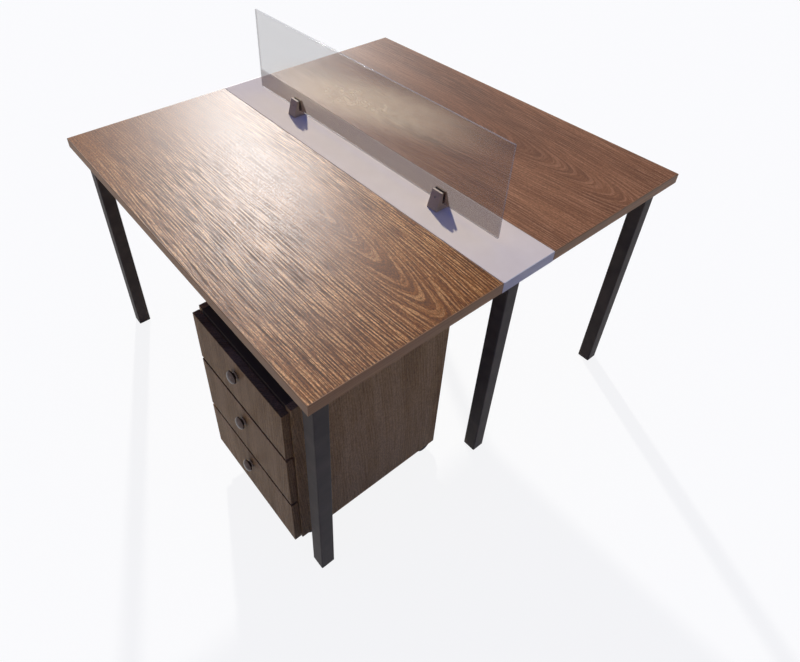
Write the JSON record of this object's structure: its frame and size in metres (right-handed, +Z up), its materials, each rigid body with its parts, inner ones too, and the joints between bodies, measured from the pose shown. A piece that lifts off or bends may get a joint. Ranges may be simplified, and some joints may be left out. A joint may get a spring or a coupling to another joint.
{
  "type": "conference table",
  "caption": "Facing desks on one black steel frame with a white centre strip, a clipped glass screen and a wheeled drawer pedestal under one side.",
  "frame": {"origin": "on the floor under the middle of the table, seen in plan", "axes": "+Z up, +Y from the near user's edge to the far user's, +X along those edges towards the pedestal"},
  "size_m": [1.22, 1.253, 1.019],
  "materials": {
    "desk_wood": "brown wood-grain laminate, embossed, satin",
    "desk_edge": "dark brown edge band",
    "white_board": "white laminate board",
    "strip_edge": "grey edge band",
    "frame_black": "black powder coat, satin",
    "foot_plastic": "black moulded",
    "zinc_steel": "zinc plated",
    "screen_glass": "grey tinted clear glass",
    "clip_metal": "dark grey-brown metallic",
    "liner_rubber": "black rubber",
    "cabinet_wood": "dark brown wood-grain laminate",
    "drawer_wood": "dark brown wood-grain laminate",
    "tray_steel": "grey powder coat",
    "runner_steel": "zinc plated",
    "knob_metal": "satin chrome",
    "caster_plastic": "black nylon",
    "wheel_plastic": "black nylon tyre"
  },
  "bodies": {
    "table": {"desktop_near": "desk_wood", "desktop_far": "desk_wood", "edge_band_near": "desk_edge", "edge_band_far": "desk_edge", "centre_strip": "white_board", "strip_end_bands": "strip_edge", "leg_near_left": "frame_black", "leg_near_right": "frame_black", "beam_near": "frame_black", "leg_mid_left": "frame_black", "leg_mid_right": "frame_black", "beam_mid": "frame_black", "leg_far_left": "frame_black", "leg_far_right": "frame_black", "beam_far": "frame_black", "end_rail_near_left": "frame_black", "end_rail_near_right": "frame_black", "end_rail_far_left": "frame_black", "end_rail_far_right": "frame_black", "leg_feet": "foot_plastic", "beam_brackets": "frame_black", "bracket_bolts": "zinc_steel", "fixing_lugs": "frame_black", "joint_plates": "zinc_steel", "board_screws": "zinc_steel", "glass_screen": "screen_glass", "clip_left": "clip_metal", "clip_right": "clip_metal", "clip_liners": "liner_rubber", "clip_grub_screws": "zinc_steel", "clip_fixing_screws": "zinc_steel"},
    "pedestal": {"cabinet_side_left": "cabinet_wood", "cabinet_side_right": "cabinet_wood", "cabinet_top": "cabinet_wood", "cabinet_bottom": "cabinet_wood", "cabinet_back": "cabinet_wood", "cabinet_runners": "runner_steel", "cabinet_screws": "zinc_steel", "caster_plates": "zinc_steel"},
    "drawer_1": {"drawer_1_front": "drawer_wood", "drawer_1_tray": "tray_steel", "drawer_1_slides": "runner_steel", "drawer_1_knob": "knob_metal"},
    "drawer_2": {"drawer_2_front": "drawer_wood", "drawer_2_tray": "tray_steel", "drawer_2_slides": "runner_steel", "drawer_2_knob": "knob_metal"},
    "drawer_3": {"drawer_3_front": "drawer_wood", "drawer_3_tray": "tray_steel", "drawer_3_slides": "runner_steel", "drawer_3_knob": "knob_metal"},
    "caster_front_left": {"caster_front_left_housing": "caster_plastic"},
    "wheels_front_left": {"caster_front_left_wheels": "wheel_plastic"},
    "caster_front_right": {"caster_front_right_housing": "caster_plastic"},
    "wheels_front_right": {"caster_front_right_wheels": "wheel_plastic"},
    "caster_rear_left": {"caster_rear_left_housing": "caster_plastic"},
    "wheels_rear_left": {"caster_rear_left_wheels": "wheel_plastic"},
    "caster_rear_right": {"caster_rear_right_housing": "caster_plastic"},
    "wheels_rear_right": {"caster_rear_right_wheels": "wheel_plastic"}
  },
  "joints": [
    {"name": "pedestal_roll", "type": "slide", "parent": "table", "child": "pedestal", "axis": [0, -1, 0], "range_m": [0, 0.6]},
    {"name": "drawer_1_slide", "type": "slide", "parent": "pedestal", "child": "drawer_1", "axis": [0, -1, 0], "range_m": [0, 0.34]},
    {"name": "drawer_2_slide", "type": "slide", "parent": "pedestal", "child": "drawer_2", "axis": [0, -1, 0], "range_m": [0, 0.34]},
    {"name": "drawer_3_slide", "type": "slide", "parent": "pedestal", "child": "drawer_3", "axis": [0, -1, 0], "range_m": [0, 0.34]},
    {"name": "caster_front_left_swivel", "type": "hinge", "parent": "pedestal", "child": "caster_front_left", "pos_m": [0.151, -0.56, 0.05], "axis": [0, 0, 1], "continuous": true},
    {"name": "wheels_front_left_roll", "type": "hinge", "parent": "caster_front_left", "child": "wheels_front_left", "pos_m": [0.151, -0.542, 0.025], "axis": [1, 0, 0], "continuous": true},
    {"name": "caster_front_right_swivel", "type": "hinge", "parent": "pedestal", "child": "caster_front_right", "pos_m": [0.463, -0.56, 0.05], "axis": [0, 0, 1], "continuous": true},
    {"name": "wheels_front_right_roll", "type": "hinge", "parent": "caster_front_right", "child": "wheels_front_right", "pos_m": [0.463, -0.542, 0.025], "axis": [1, 0, 0], "continuous": true},
    {"name": "caster_rear_left_swivel", "type": "hinge", "parent": "pedestal", "child": "caster_rear_left", "pos_m": [0.151, -0.156, 0.05], "axis": [0, 0, 1], "continuous": true},
    {"name": "wheels_rear_left_roll", "type": "hinge", "parent": "caster_rear_left", "child": "wheels_rear_left", "pos_m": [0.151, -0.138, 0.025], "axis": [1, 0, 0], "continuous": true},
    {"name": "caster_rear_right_swivel", "type": "hinge", "parent": "pedestal", "child": "caster_rear_right", "pos_m": [0.463, -0.156, 0.05], "axis": [0, 0, 1], "continuous": true},
    {"name": "wheels_rear_right_roll", "type": "hinge", "parent": "caster_rear_right", "child": "wheels_rear_right", "pos_m": [0.463, -0.138, 0.025], "axis": [1, 0, 0], "continuous": true}
  ]
}
